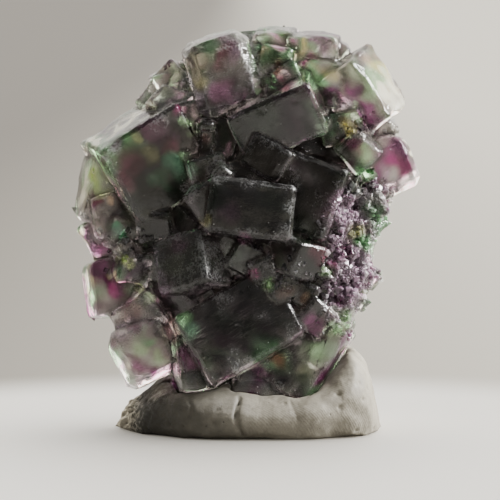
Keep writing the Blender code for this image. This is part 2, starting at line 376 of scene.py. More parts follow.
# Clouds inside the crystals, each laid over the one before
CLOUDS = (
    Cloud(PURPLE, 5.5 * MM, Vector((0.0, 0.0, 0.0)), 0.12),
    Cloud(GREEN, 7.5 * MM, Vector((9.0, 3.0, 5.0)), -0.15),
)
CLOUD_CONTRAST = 2.6

Zone = namedtuple("Zone", "across up radius colour")

# Colour zones of the best side: millimetres across and up from the base, radius and colour; the near black
# zones are painted shade
ZONES = (
    # Upper left crystal and the left rim
    Zone(-25.0, 58.0, 1.5, CREAM), Zone(-28.5, 55.5, 1.5, CREAM), Zone(-21.0, 61.0, 2.0, CREAM),
    Zone(-18.5, 62.0, 1.5, CREAM), Zone(-23.0, 59.0, 1.5, CREAM), Zone(-18.5, 45.5, 5.5, PAINTED_SHADE_BLACK),
    Zone(-15.5, 56.5, 2.5, DEEP), Zone(-18.0, 58.0, 2.0, DEEP), Zone(-14.0, 54.5, 1.5, MAROON),
    Zone(-22.0, 51.5, 2.5, MAROON), Zone(-23.0, 48.5, 2.0, MAROON), Zone(-20.5, 56.0, 1.0, OLIVE),
    Zone(-18.0, 53.0, 1.5, OLIVE), Zone(-16.0, 48.5, 1.5, FOREST), Zone(-11.0, 50.0, 1.5, FOREST),
    Zone(-13.5, 51.5, 2.0, TURQUOISE), Zone(-11.5, 53.0, 1.0, GREEN), Zone(-24.5, 54.5, 1.5, ASH),
    Zone(-26.0, 52.0, 1.0, ASH), Zone(-31.0, 50.5, 3.0, PALE_GREEN), Zone(-31.5, 46.5, 2.5, CREAM),
    Zone(-28.0, 48.0, 2.0, LIME), Zone(-27.5, 51.5, 1.0, PURPLE), Zone(-28.5, 45.0, 1.0, MAROON),
    Zone(-26.0, 45.0, 1.0, TAN), Zone(-32.5, 43.5, 1.5, CREAM), Zone(-33.5, 40.0, 1.0, LIME),
    # Top
    Zone(-11.0, 67.0, 1.5, SLATE), Zone(-9.5, 69.5, 2.0, STRAW), Zone(-8.0, 66.5, 1.5, OLIVE),
    Zone(-5.0, 71.0, 2.0, MAROON), Zone(-2.0, 71.5, 1.5, MAUVE), Zone(-4.5, 64.0, 2.0, ORCHID),
    Zone(-1.5, 64.5, 1.5, DEEP), Zone(-1.0, 67.5, 1.5, ASH), Zone(-14.5, 68.5, 2.5, CREAM),
    Zone(-17.5, 65.0, 1.5, STONE), Zone(-13.5, 64.5, 1.0, PINK), Zone(-12.5, 61.5, 1.0, MAGENTA),
    Zone(-9.5, 61.0, 1.0, PINK), Zone(-10.5, 58.5, 1.0, PALE_GREEN), Zone(-7.5, 56.0, 1.0, BROWN),
    Zone(-3.0, 54.0, 0.5, PINK), Zone(5.5, 76.5, 2.5, STONE), Zone(12.5, 76.5, 2.5, MAUVE),
    Zone(10.5, 73.5, 1.5, YELLOW), Zone(6.5, 74.0, 1.5, PINK), Zone(14.0, 73.5, 1.5, MAUVE),
    Zone(12.0, 70.5, 1.5, MAGENTA), Zone(12.5, 67.0, 1.5, GREEN), Zone(15.0, 68.0, 1.5, YELLOW),
    Zone(3.0, 72.0, 1.0, OLIVE), Zone(5.5, 69.5, 1.5, RUST), Zone(4.0, 67.0, 1.0, GREEN),
    Zone(7.0, 67.5, 1.0, MAROON), Zone(18.5, 75.0, 1.5, CREAM), Zone(18.0, 72.5, 1.0, PINK),
    # Bright crystal at the upper right
    Zone(18.5, 69.5, 3.0, SAGE), Zone(20.5, 66.0, 3.5, PALE_GREEN), Zone(23.0, 65.0, 2.0, GREEN),
    Zone(19.5, 64.5, 3.0, PURPLE), Zone(20.5, 64.5, 1.5, DEEP), Zone(23.5, 60.0, 2.0, PURPLE),
    Zone(27.5, 65.5, 4.0, CREAM), Zone(29.5, 62.0, 2.0, CREAM), Zone(24.0, 72.5, 2.5, TAN),
    Zone(26.5, 69.5, 2.0, YELLOW), Zone(23.5, 67.5, 2.0, PALE_GREEN),
    Zone(19.5, 60.5, 1.0, PALE_GREEN),
    # Right rim
    Zone(16.5, 59.5, 1.5, FOREST), Zone(19.0, 58.0, 1.0, YELLOW), Zone(17.5, 56.0, 1.0, MAROON),
    Zone(20.5, 54.5, 1.5, MAGENTA), Zone(22.5, 53.0, 1.5, PALE_GREEN), Zone(21.5, 50.0, 1.0, GREEN),
    Zone(19.5, 51.5, 1.0, DEEP), Zone(28.0, 53.0, 4.0, ORCHID), Zone(29.0, 51.0, 2.0, MAGENTA),
    Zone(30.0, 54.5, 1.0, PURPLE), Zone(31.5, 56.0, 1.0, CREAM), Zone(26.0, 48.5, 1.5, MAUVE),
    Zone(31.5, 50.5, 1.0, PINK), Zone(26.0, 45.5, 1.5, PINK), Zone(27.0, 43.5, 1.0, PURPLE),
    # Crust at the right
    Zone(18.5, 41.5, 4.0, MAUVE), Zone(19.5, 35.5, 4.5, MAUVE), Zone(19.0, 28.5, 4.5, MAUVE),
    Zone(18.0, 22.5, 3.0, MAUVE),
    Zone(17.5, 44.0, 2.0, MAUVE), Zone(20.5, 42.0, 2.0, MAUVE), Zone(22.5, 36.5, 1.5, GREEN),
    Zone(20.5, 39.0, 1.5, OLIVE), Zone(18.5, 35.0, 1.5, PURPLE), Zone(24.0, 33.0, 1.0, PINK),
    Zone(20.5, 28.5, 2.5, MAUVE), Zone(22.5, 27.0, 1.0, CREAM), Zone(18.5, 22.0, 1.5, PALE_GREEN),
    Zone(17.5, 25.5, 1.5, PURPLE),
    # Middle
    Zone(9.0, 59.0, 5.5, PAINTED_SHADE_BLACK), Zone(2.5, 57.5, 5.0, PAINTED_SHADE_BLACK),
    Zone(8.5, 32.0, 2.0, SLATE), Zone(13.5, 34.5, 2.0, MAROON), Zone(16.0, 32.5, 1.0, MAGENTA),
    Zone(14.5, 31.0, 1.0, PALE_GREEN), Zone(1.5, 31.0, 1.0, MAGENTA), Zone(5.0, 31.0, 1.0, ASH),
    Zone(4.0, 29.0, 1.0, PALE_GREEN), Zone(7.0, 27.5, 1.0, BROWN), Zone(10.5, 26.0, 1.0, RUST),
    Zone(-3.0, 42.0, 2.0, SHADE), Zone(-0.5, 37.0, 1.0, PURPLE), Zone(-7.5, 40.5, 1.0, OLIVE),
    Zone(-13.5, 32.5, 2.0, MOSS), Zone(-12.5, 36.0, 1.5, SHADE), Zone(-15.5, 27.5, 1.5, SHADE),
    Zone(-7.0, 35.0, 1.5, SLATE), Zone(-11.5, 22.5, 1.5, GREEN), Zone(-10.0, 20.0, 1.5, FOREST),
    Zone(-11.5, 16.0, 1.5, PURPLE), Zone(-1.5, 14.0, 1.0, SLATE), Zone(-14.5, 19.5, 2.0, BROWN),
    # Lower left
    Zone(-28.5, 35.5, 2.5, PURPLE), Zone(-29.5, 38.0, 1.0, OLIVE), Zone(-29.5, 29.5, 1.5, OLIVE),
    Zone(-27.0, 32.0, 1.5, DEEP), Zone(-24.5, 28.0, 1.5, MAGENTA), Zone(-28.0, 24.0, 2.5, DUSK),
    Zone(-29.5, 27.0, 1.0, SAGE),
    Zone(-25.5, 30.0, 1.0, YELLOW), Zone(-24.5, 39.0, 1.5, TURQUOISE), Zone(-24.0, 35.0, 1.0, STONE),
    Zone(-22.5, 33.0, 1.0, LIME), Zone(-21.0, 27.5, 1.0, OLIVE), Zone(-19.0, 25.5, 1.0, PALE_GREEN),
    Zone(-17.0, 25.5, 0.5, PINK), Zone(-22.0, 23.5, 2.5, BROWN), Zone(-21.5, 20.5, 2.0, DEEP),
    Zone(-20.5, 17.0, 1.8, PALE_GREEN), Zone(-18.5, 18.5, 1.3, GREEN), Zone(-25.0, 18.0, 2.5, DUSK),
    Zone(-20.0, 13.5, 1.3, ORCHID),
    Zone(-22.0, 13.5, 1.0, CREAM), Zone(-18.0, 13.0, 1.3, PURPLE), Zone(-19.0, 11.0, 1.0, SLATE),
    Zone(-15.5, 12.5, 1.5, PINK), Zone(-24.0, 12.5, 1.5, DUSK), Zone(-18.0, 9.0, 1.5, CREAM),
    Zone(-16.5, 15.0, 1.5, PALE_GREEN),
    # Lower right
    Zone(12.5, 21.5, 2.0, PURPLE), Zone(16.5, 20.5, 1.5, PALE_GREEN), Zone(14.5, 19.0, 1.0, DEEP),
    Zone(16.5, 24.0, 1.0, STONE), Zone(12.5, 16.0, 1.5, SAGE), Zone(11.0, 12.0, 2.0, SAGE),
    Zone(17.0, 14.0, 1.5, MAUVE), Zone(19.0, 15.5, 1.0, CREAM), Zone(5.5, 15.0, 1.5, RUST),
    Zone(6.5, 11.0, 2.0, PAINTED_SHADE_BLACK),
)

Frost = namedtuple("Frost", "across up radius amount")

# Frosted places of the best side, placed as the colour zones are
FROSTED = (
    Frost(-4.5, 69.0, 8.0, 0.5), Frost(4.0, 57.5, 5.0, 0.4), Frost(-5.0, 49.5, 2.5, 1.0),
    Frost(0.5, 48.5, 2.5, 0.5), Frost(8.5, 48.5, 2.5, 1.0), Frost(8.0, 43.0, 2.0, 0.7),
    Frost(6.5, 38.0, 2.5, 0.9), Frost(-10.5, 46.0, 2.5, 0.8), Frost(0.5, 38.0, 2.0, 0.5),
    Frost(-13.5, 32.5, 7.5, 0.7), Frost(-6.5, 34.0, 3.5, 1.0), Frost(-1.5, 15.0, 3.0, 0.8),
    Frost(-4.0, 25.0, 2.5, 0.6), Frost(3.0, 23.0, 2.0, 0.5), Frost(9.0, 20.0, 2.5, 0.5),
    Frost(14.0, 44.0, 5.0, 0.5), Frost(5.5, 8.5, 3.0, 0.5), Frost(-21.0, 22.0, 5.0, 0.6),
    Frost(-16.0, 58.5, 2.5, 0.5), Frost(-25.0, 54.0, 2.0, 0.6), Frost(-25.0, 15.0, 4.0, 0.5),
)
FROST_BORDER = (0.5, 1.25)
BARE_FROST = 0.12
FROST_BEHIND = 0.5
FROST_CLOUD_SIZE = 6.0 * MM


def blended(colours, colour, amount):
    """The colours mixed with another by an amount from 0 to 1 for each point."""
    return colours * (1.0 - amount[:, None]) + np.asarray(colour) * amount[:, None]


def cloudy_colours(points):
    """Smoky crystal with purple and green clouds."""
    colours = np.tile(np.array(SMOKE), (len(points), 1))
    for cloud in CLOUDS:
        waves = np.array([noise.noise(Vector(point) / cloud.size + cloud.shift) for point in points])
        colours = blended(colours, cloud.colour, np.clip(waves * CLOUD_CONTRAST + cloud.level, 0.0, 1.0))
    return colours


def in_front(points):
    """1 on the best side, falling softly to 0 behind it."""
    return 1.0 - smoothstep(ZONE_FRONT, ZONE_BACK, points[:, 1])


def with_painted_heart_shade(points, colours):
    """The colours made darker by painted shade towards the thick heart of the cluster."""
    across = (points[:, 0] - CLUSTER_MIDDLE[0]) / CLUSTER_HALF[0]
    up = (points[:, 2] - CLUSTER_MIDDLE[1]) / CLUSTER_HALF[1]
    start = HEART_EDGE_BEHIND + (HEART_EDGE - HEART_EDGE_BEHIND) * in_front(points)
    rim = smoothstep(start, 1.0, np.hypot(across, up))[:, None]
    shade = (PAINTED_HEART_SHADE + (1.0 - PAINTED_HEART_SHADE) * rim) * (0.3 + 0.7 * rim)
    return colours * shade + np.array(PAINTED_SHADE_BLACK) * (1.0 - rim)


def seen_from_front(points):
    """Where points lie across and up in the best side's view, in millimetres, with soft wavy borders."""
    warp = np.array([noise.noise_vector(Vector(point) / ZONE_WARP_SIZE) for point in points]) * ZONE_WARP
    warp *= 1.0 + ZONE_WARP_BEHIND * smoothstep(FACES_FRONT, 0.0, points[:, 1])[:, None]
    across = points[:, 0] / MM + warp[:, 0]
    seen_up = points[:, 2] * math.cos(VIEW_ELEVATION) + points[:, 1] * math.sin(VIEW_ELEVATION)
    return across, seen_up / MM + ZONE_RISE + warp[:, 2]


def frosted_amounts(points):
    """How frosted each point is: the placed patches in front, and broad clouds everywhere else."""
    across, up = seen_from_front(points)
    front = in_front(points)
    placed = np.zeros(len(points))
    for spot in FROSTED:
        away = np.hypot(across - spot.across, up - spot.up) / spot.radius
        placed = np.maximum(placed, spot.amount * (1.0 - smoothstep(*FROST_BORDER, away)))
    clouds = np.array([noise.noise(Vector(point) / FROST_CLOUD_SIZE) for point in points])
    behind = smoothstep(0.0, 0.4, clouds) * FROST_BEHIND * (1.0 - front)
    return np.clip(BARE_FROST + placed * front + behind, 0.0, 1.0)


def zone_colours(points):
    """Clouds with painted shade over the heart, with the zones in front and a light window behind each
    bright zone.
    """
    clouds = cloudy_colours(points)
    colours = with_painted_heart_shade(points, clouds)
    clear = (1.0 - WINDOW_CLEAR) * clouds + WINDOW_CLEAR * np.array(CLEAR)
    front = in_front(points)
    across, up = seen_from_front(points)
    for zone in ZONES:
        away = np.hypot(across - zone.across, up - zone.up) / zone.radius
        colours = blended(colours, zone.colour, (1.0 - smoothstep(*ZONE_BORDER, away)) * front)
        if max(zone.colour) > BRIGHT_ZONE:
            colours = blended(colours, clear, (1.0 - smoothstep(*WINDOW_BORDER, away)) * (1.0 - front))
    return colours


# Crystal faces

def flat_groups(bm):
    """The mesh's triangles, grouped by the flat crystal face that they belong to."""
    seen = set()
    groups = []
    for seed in bm.faces:
        if seed in seen:
            continue
        group = [seed]
        seen.add(seed)
        for face in group:
            for edge in face.edges:
                for other in edge.link_faces:
                    if other not in seen and other.normal.dot(seed.normal) > SAME_FACE:
                        seen.add(other)
                        group.append(other)
        groups.append(group)
    return groups


def edge_turn(group, first, second):
    """The turn that lays a square grid along the outer edges of one flat group."""
    inside = set(group)
    swing = 0j
    for face in group:
        for edge in face.edges:
            if all(other in inside for other in edge.link_faces):
                continue
            along = edge.verts[1].co - edge.verts[0].co
            angle = math.atan2(along.dot(second), along.dot(first))
            swing += along.length * complex(math.cos(4 * angle), math.sin(4 * angle))
    return math.atan2(swing.imag, swing.real) / 4


def label_faces(bm):
    """Gives the triangles of each crystal face one random number and a square grid along its edges."""
    tone = bm.faces.layers.float.new("tone")
    grid = bm.loops.layers.uv.new("growth")
    bm.normal_update()
    rng = random.Random(FACE_SEED)
    for group in flat_groups(bm):
        normal = group[0].normal
        first = normal.orthogonal().normalized()
        second = normal.cross(first)
        turn = edge_turn(group, first, second)
        axis_u = first * math.cos(turn) + second * math.sin(turn)
        axis_v = normal.cross(axis_u)
        shift = Vector((rng.uniform(0, GRID_SHIFT), rng.uniform(0, GRID_SHIFT)))
        value = rng.random()
        for face in group:
            face[tone] = value
            for loop in face.loops:
                spot = loop.vert.co / MM
                loop[grid].uv = Vector((spot.dot(axis_u), spot.dot(axis_v))) + shift


def edge_points(bm, inner):
    """Points along the sharp edges: the outer ones, or the inner ones where crystals meet."""
    points = []
    for edge in bm.edges:
        angle = edge.calc_face_angle_signed(0.0)
        if (angle < -SHARP_ANGLE) if inner else (angle > SHARP_ANGLE):
            a, b = (v.co for v in edge.verts)
            steps = max(1, int((b - a).length / EDGE_STEP))
            points.extend(a.lerp(b, (i + 0.5) / steps) for i in range(steps))
    return points


def closeness(points, verts, width):
    """1 on the given points, falling to 0 at the width away from them."""
    tree = KDTree(len(points))
    for i, point in enumerate(points):
        tree.insert(point, i)
    tree.balance()
    return np.array([max(0.0, 1.0 - tree.find(v.co)[2] / width) for v in verts])


def wear_edges(bm, outer, around):
    """Rounds and chips the outer edges a little, erodes some broadly, and warps the faces by a hair."""
    smooth(bm, [v for v, near in zip(bm.verts, outer) if near > ROUNDED_FROM], ROUNDING)
    bm.normal_update()
    for vert, near, nearby in zip(bm.verts, outer, around):
        chip = max(0.0, noise.noise(vert.co / CHIP_SIZE) - CHIP_START) * near * CHIP_DEPTH
        rim = math.hypot(vert.co.x - CLUSTER_MIDDLE[0], vert.co.z - CLUSTER_MIDDLE[1]) / CLUSTER_HALF[1]
        waves = max(0.0, noise.noise(vert.co / EROSION_SIZE) - EROSION_START)
        erosion = waves * nearby * nearby * EROSION_DEPTH * (0.3 + min(1.0, rim * rim))
        warp = noise.noise_vector(vert.co / WARP_SIZE)
        vert.co += warp * WARP_DEPTH - vert.normal * (chip + erosion)


def crystal_frost(nodes, where, streak, frosted):
    """Frosting: broad mottled bands along the edges, a fine veil on every face, cloudy patches, streaks."""
    edge = nodes.attribute("edge")["Fac"]
    tone = nodes.attribute("tone")["Fac"]
    grain = nodes.ramp(nodes.noise(where, 2.4, 6.0, 0.85), 0.40, 0.62)
    region = nodes.ramp(nodes.noise(where, 0.21, 3.0), 0.36, 0.66)
    worn = nodes.ramp(nodes.noise(where, 0.8, 4.0, 0.7), 0.35, 0.65)
    line = nodes.math("MULTIPLY", nodes.ramp(edge, 0.86, 1.0), nodes.ramp(worn, 0.2, 1.0, 0.05, 0.5))
    broad = nodes.math("POWER", edge, 1.6)
    band = nodes.math("MULTIPLY", broad, nodes.ramp(region, 0.0, 1.0, 0.15, 0.9))
    band = nodes.math("MULTIPLY", band, nodes.ramp(worn, 0.0, 1.0, 0.35, 1.0))
    cloud = nodes.ramp(nodes.noise(where, 0.36, 7.0, 0.75), 0.36, 0.64, 0.25, 1.0)
    patch = nodes.math("MULTIPLY", cloud, frosted)
    facing = nodes.math("MULTIPLY", streak, nodes.ramp(tone, 0.0, 1.0, 0.1, 0.6))
    facing = nodes.math("MULTIPLY", facing, nodes.ramp(frosted, 0.0, 0.7, 0.3, 1.0))
    dust = nodes.math("ADD", patch, facing)
    dusting = nodes.math("MULTIPLY", nodes.math("ADD", band, dust), nodes.ramp(grain, 0.0, 1.0, 0.2, 1.0))
    return nodes.math("ADD", line, nodes.math("MULTIPLY", dusting, 0.8))


def specks_and_scratches(nodes, where, growth):
    """Rare white specks, and hair scratches in some places."""
    spots = nodes.cells(where)
    rare = nodes.add("ShaderNodeSeparateColor", {"Color": spots.outputs["Color"]}).outputs
    speck = nodes.ramp(spots.outputs["Distance"], 0.04, 0.13, 1.0, 0.0)
    speck = nodes.math("MULTIPLY", speck, nodes.ramp(rare["Red"], 0.86, 0.94))
    field = nodes.noise(nodes.stretched(growth, 0.10, 0.34, 0.6), 1.0, 1.0)
    scratch = nodes.math("ABSOLUTE", nodes.math("SUBTRACT", field, 0.5))
    scratch = nodes.ramp(scratch, 0.0008, 0.0035, 0.35, 0.0)
    scratch = nodes.math("MULTIPLY", scratch, nodes.ramp(nodes.noise(where, 0.35, 2.0), 0.52, 0.62))
    return nodes.math("MAXIMUM", speck, scratch)


def stained_and_shaded_zones(nodes, where, zone):
    """The zones with dirt and painted shade in the crevices, and brown stains."""
    crease = nodes.attribute("crease")["Fac"]
    dirt_and_shade = nodes.mix(nodes.ramp(crease, 0.1, 0.9, 0.0, 0.85), zone, CREVICE_DIRT_AND_SHADE)
    stain = nodes.ramp(nodes.noise(where, 0.6, 5.0, 0.7), 0.52, 0.7, 0.0, 0.5)
    return nodes.mix(stain, dirt_and_shade, nodes.mix(1.0, dirt_and_shade, STAIN, "MULTIPLY"))


def frost_colour(nodes, zone, frosted, glow, white):
    """Dark to grey frost on the dark faces, pale frost on the bright ones, and white specks."""
    pale = nodes.mix(0.3, zone, PALE_FROST)
    grey = nodes.mix(frosted, DARK_FROST, GREY_FROST)
    return nodes.mix(white, nodes.mix(glow, grey, pale), SPECK_WHITE)


def crystal_relief(nodes, where, growth, streak):
    """Square growth hillocks, streaks along the crystal, a fine grain and broad waves."""
    hillock = nodes.cells(growth, 0.42, "CHEBYCHEV").outputs["Distance"]
    normal = nodes.bump(hillock, 0.06 * MM, 0.6)
    normal = nodes.bump(streak, 0.04 * MM, 0.8, normal)
    normal = nodes.bump(nodes.noise(where, 1.6, 6.0, 0.75), 0.06 * MM, 0.8, normal)
    return nodes.bump(nodes.noise(where, 0.35, 2.0), 0.25 * MM, 0.5, normal)


def crystal_material():
    material, nodes, shader, out = new_material("Fluorite")
    where = nodes.place()
    growth = nodes.add("ShaderNodeUVMap", uv_map="growth").outputs["UV"]
    streak = nodes.ramp(nodes.noise(nodes.stretched(growth, 0.25, 3.2), 1.0, 3.0), 0.54, 0.72, 0.0, 0.5)
    zone = nodes.attribute("zone")["Color"]
    frosted = nodes.attribute("frosted")["Fac"]
    glow = nodes.attribute("glow")["Fac"]
    milk = nodes.attribute("milk")["Fac"]

    frost = crystal_frost(nodes, where, streak, frosted)
    white = specks_and_scratches(nodes, where, growth)
    thinned = nodes.math("MULTIPLY", frost, nodes.ramp(glow, 0.0, 1.0, 1.0, 0.3))
    veil = nodes.add("ShaderNodeClamp", {"Value": nodes.math("MAXIMUM", thinned, white)}).outputs[0]

    stained_and_shaded = stained_and_shaded_zones(nodes, where, zone)
    bloom = frost_colour(nodes, zone, frosted, glow, white)
    nodes.put(shader.inputs["Base Color"], nodes.mix(veil, stained_and_shaded, bloom))
    nodes.put(shader.inputs["Roughness"], nodes.ramp(veil, 0.0, 1.0, 0.11, 0.6))
    loss = nodes.math("MULTIPLY", veil, nodes.ramp(glow, 0.0, 1.0, 0.75, 0.35))
    clear = nodes.math("SUBTRACT", nodes.math("SUBTRACT", 0.97, loss), nodes.math("MULTIPLY", milk, 0.4))
    nodes.put(shader.inputs["Transmission Weight"], nodes.math("MAXIMUM", clear, 0.15))
    nodes.put(shader.inputs["Subsurface Weight"], milk)
    shader.inputs["Subsurface Radius"].default_value = (1.0, 1.0, 1.0)
    shader.inputs["Subsurface Scale"].default_value = MILK_REACH
    shader.inputs["IOR"].default_value = CRYSTAL_IOR
    nodes.put(shader.inputs["Normal"], crystal_relief(nodes, where, growth, streak))

    values = {"Color": ABSORPTION_COLOUR, "Density": ABSORPTION_DENSITY}
    absorb = nodes.add("ShaderNodeVolumeAbsorption", values)
    nodes.tree.links.new(absorb.outputs["Volume"], out.inputs["Volume"])
    return material


def crystals():
    bm = welded("fluorite_cluster")
    label_faces(bm)
    outer_points = edge_points(bm, inner=False)
    inner_points = edge_points(bm, inner=True)
    refine(bm, FINE_EDGE)
    bm.verts.ensure_lookup_table()
    outer = closeness(outer_points, bm.verts, FROST_WIDTH)
    inner = closeness(inner_points, bm.verts, CREASE_WIDTH)
    points = np.array([v.co for v in bm.verts])
    wear_edges(bm, outer, closeness(outer_points, bm.verts, EROSION_WIDTH))
    for face in bm.faces:
        face.smooth = True
    obj = new_object("crystals", bm)
    obj.data.set_sharp_from_angle(angle=SMOOTH_ANGLE)
    set_values(obj, "edge", outer)
    set_values(obj, "crease", inner)
    set_values(obj, "frosted", frosted_amounts(points))
    colours = zone_colours(points)
    set_colours(obj, "zone", colours)
    lightness = colours.max(axis=1)
    set_values(obj, "glow", smoothstep(0.12, 0.7, lightness))
    set_values(obj, "milk", MILKIEST * smoothstep(0.5, 0.9, colours.mean(axis=1)))
    obj.data.materials.append(crystal_material())
    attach(obj, "root")
    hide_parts("fluorite_cluster")
    return obj


# Druse

def chamfered_cube():
    """Corners and faces of a unit cube with its edges cut off."""
    bm = bmesh.new()
    bmesh.ops.create_cube(bm, size=1.0)
    bmesh.ops.bevel(bm, geom=bm.edges[:], offset=DRUSE_CHAMFER, segments=1, affect="EDGES")
    bmesh.ops.triangulate(bm, faces=bm.faces[:])
    bm.verts.index_update()
    corners = np.array([v.co for v in bm.verts])
    faces = [[v.index for v in f.verts] for f in bm.faces]
    bm.free()
    return corners, faces


Patch = namedtuple("Patch", "across up wide high count size")

# Patches of sugary crust on the best side, in millimetres: middle, width, height, cubes, largest size
CRUST = (
    Patch(21.5, 41.0, 8.0, 9.0, 700, 1.2), Patch(20.5, 33.0, 8.0, 10.0, 700, 1.2),
    Patch(18.5, 25.0, 6.0, 8.0, 400, 1.1), Patch(24.5, 44.0, 4.0, 5.0, 120, 1.2),
    Patch(5.0, 30.0, 12.0, 6.0, 110, 1.2), Patch(-22.0, 35.0, 6.0, 8.0, 40, 1.2),
    Patch(22.0, 57.0, 8.0, 3.0, 40, 1.2),
)


def crust_spots(skin, rng):
    """Where the crust's cubes sit on the best side: the point, the skin's normal and the cube's size."""
    spots = []
    for patch in CRUST:
        for _ in range(patch.count):
            across = (patch.across + rng.gauss(0.0, CRUST_SPREAD) * patch.wide) * MM
            up = (patch.up + rng.gauss(0.0, CRUST_SPREAD) * patch.high) * MM
            hit, normal, _, _ = skin.ray_cast(Vector((across, RAY_START, up)), Vector((0.0, 1.0, 0.0)))
            if hit and hit.y > CRUST_FRONT:
                size = rng.uniform(DRUSE_SIZE[0], patch.size * MM)
                spots.append((hit, normal, size))
    return spots


def crevice_spots(skin, creases, rng):
    """Where single cubes sit in the crevices of the back and the sides."""
    spots = []
    hidden = [point for point in creases if point.y > CREVICE_START]
    for point in rng.sample(hidden, CREVICE_CUBES):
        _, normal, _, _ = skin.find_nearest(point)
        spots.append((point, normal, rng.uniform(DRUSE_SIZE[0], CREVICE_LARGEST)))
    return spots


def tilted_cubes(spots, rng):
    """Corners and faces of a tilted cube on each spot, and for each corner the shade of its cube."""
    corners, faces = chamfered_cube()
    verts = []
    polygons = []
    shades = []
    for spot, normal, size in spots:
        middle = spot - normal * size * DRUSE_SINK
        if middle.z < DRUSE_LOWEST:
            continue
        tilt = normal.to_track_quat("Z", "Y").to_matrix()
        spin = Matrix.Rotation(rng.uniform(0.0, math.tau), 3, "Z")
        lean = Matrix.Rotation(rng.uniform(*DRUSE_LEAN), 3, "X")
        place = np.array(tilt @ (spin @ lean))
        stretch = np.array([rng.uniform(*DRUSE_STRETCH) for _ in range(3)]) * size
        start = len(verts)
        verts.extend((corners * stretch) @ place.T + np.array(middle))
        polygons.extend([start + i for i in face] for face in faces)
        shades.extend([rng.random()] * len(corners))
    return np.array(verts), polygons, np.array(shades)


def sugar_colours(points, shades):
    """The zones' colours, lighter or darker from cube to cube, with painted glints on a few cubes in front.
    """
    shade = shades[:, None]
    colours = zone_colours(points) * (0.5 + 0.4 * shade) + np.array(FROSTING) * 0.5 * shade
    on_rim = points[:, :1] > RIM_START
    painted_glints = (shade > PAINTED_GLINT_FROM) | ((shade > RIM_PAINTED_GLINT_FROM) & on_rim)
    colours = np.where(painted_glints & (points[:, 1:2] < 0.0), colours + PAINTED_GLINT, colours)
    return np.clip(colours, 0.0, 0.95)


def druse():
    rng = random.Random(DRUSE_SEED)
    bm = welded("fluorite_cluster")
    skin = BVHTree.FromBMesh(bm)
    creases = edge_points(bm, inner=True)
    bm.free()
    spots = crust_spots(skin, rng) + crevice_spots(skin, creases, rng)
    points, polygons, shades = tilted_cubes(spots, rng)
    mesh = bpy.data.meshes.new("druse")
    mesh.from_pydata([tuple(point) for point in points], [], polygons)
    obj = bpy.data.objects.new("druse", mesh)
    bpy.context.scene.collection.objects.link(obj)
    set_colours(obj, "zone", sugar_colours(points, shades))
    obj.data.materials.append(druse_material())
    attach(obj, "root")
    return obj


def druse_material():
    material, nodes, shader, _ = new_material("Fluorite_druse")
    where = nodes.place()
    zone = nodes.attribute("zone")["Color"]
    grain = nodes.ramp(nodes.noise(where, 1.5, 3.0), 0.4, 0.65)
    colour = nodes.mix(nodes.math("MULTIPLY", grain, 0.2), zone, DRUSE_GREY)
    nodes.put(shader.inputs["Base Color"], colour)
    nodes.put(shader.inputs["Roughness"], nodes.ramp(grain, 0.0, 1.0, 0.12, 0.45))
    shader.inputs["Transmission Weight"].default_value = 0.55
    shader.inputs["Subsurface Weight"].default_value = 0.8
    shader.inputs["Subsurface Radius"].default_value = (1.0, 1.0, 1.0)
    shader.inputs["Subsurface Scale"].default_value = DRUSE_MILK_REACH
    shader.inputs["IOR"].default_value = CRYSTAL_IOR
    nodes.put(shader.inputs["Normal"], nodes.bump(nodes.noise(where, 3.0, 3.0), 0.03 * MM))
    return material


# Putty

def near_line(point, line):
    """Distance in the front plane from a point to a line of (across, up) corners."""
    best = 1.0
    spot = Vector((point.x, point.z))
    for a, b in zip(line, line[1:]):
        start = Vector(a) * MM
        run = Vector(b) * MM - start
        t = max(0.0, min(1.0, (spot - start).dot(run) / run.length_squared))
        best = min(best, (spot - start - run * t).length)
    return best


Crease = namedtuple("Crease", "depth line")

# Creases of the putty's front, in millimetres across and up
CREASES = (
    Crease(0.85, ((-1.4, 7.6), (-2.1, 5.4), (-1.9, 3.4), (-0.8, 1.0))),
    Crease(0.30, ((-11.0, 8.6), (-10.2, 6.0), (-11.4, 3.2))),
    Crease(0.35, ((-19.6, 6.4), (-17.8, 4.2), (-19.0, 1.2))),
    Crease(0.80, ((-6.8, 3.5), (-5.6, 2.9))),
    Crease(0.25, ((8.0, 7.0), (9.4, 4.0), (9.0, 1.6))),
)


def putty_depth(point, pits):
    """How far the putty's skin is pressed in at a point: dents, lumps, creases and pits."""
    depth = noise.noise(point / LUMP_SIZE) * LUMP_DEPTH
    depth += noise.noise(point / DIMPLE_SIZE) * DIMPLE_DEPTH
    torn = float(smoothstep(TORN_END, TORN_END - TORN_REACH, point.x))
    depth += torn * (noise.noise(point / TORN_SIZE) + 0.25) * TORN_DEPTH
    if point.y < PUTTY_FRONT:
        for crease in CREASES:
            near = 1.0 - near_line(point, crease.line) / CREASE_HALF
            depth += max(0.0, near) ** 1.5 * crease.depth * MM
    for middle, radius in pits:
        near = (point - middle).length / radius
        if near < 1.0:
            depth += (1.0 - near * near) * radius * 0.8
    return depth


def press_skin(bm, rng):
    """Presses the putty's skin in above its flat foot, and keeps it inside the putty's own box."""
    low, high = (Vector(corner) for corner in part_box("putty_base"))
    pits = []
    for _ in range(PIT_COUNT):
        pits.append((rng.choice(bm.verts).co.copy(), rng.uniform(*PIT_RADIUS)))
    bm.normal_update()
    for vert in bm.verts:
        if vert.co.z < PUTTY_FOOT:
            continue
        rise = min(1.0, vert.co.z / PUTTY_FADE)
        vert.co -= vert.normal * putty_depth(vert.co, pits) * rise
        vert.co = Vector(max(a, min(b, c)) for a, b, c in zip(low, high, vert.co))


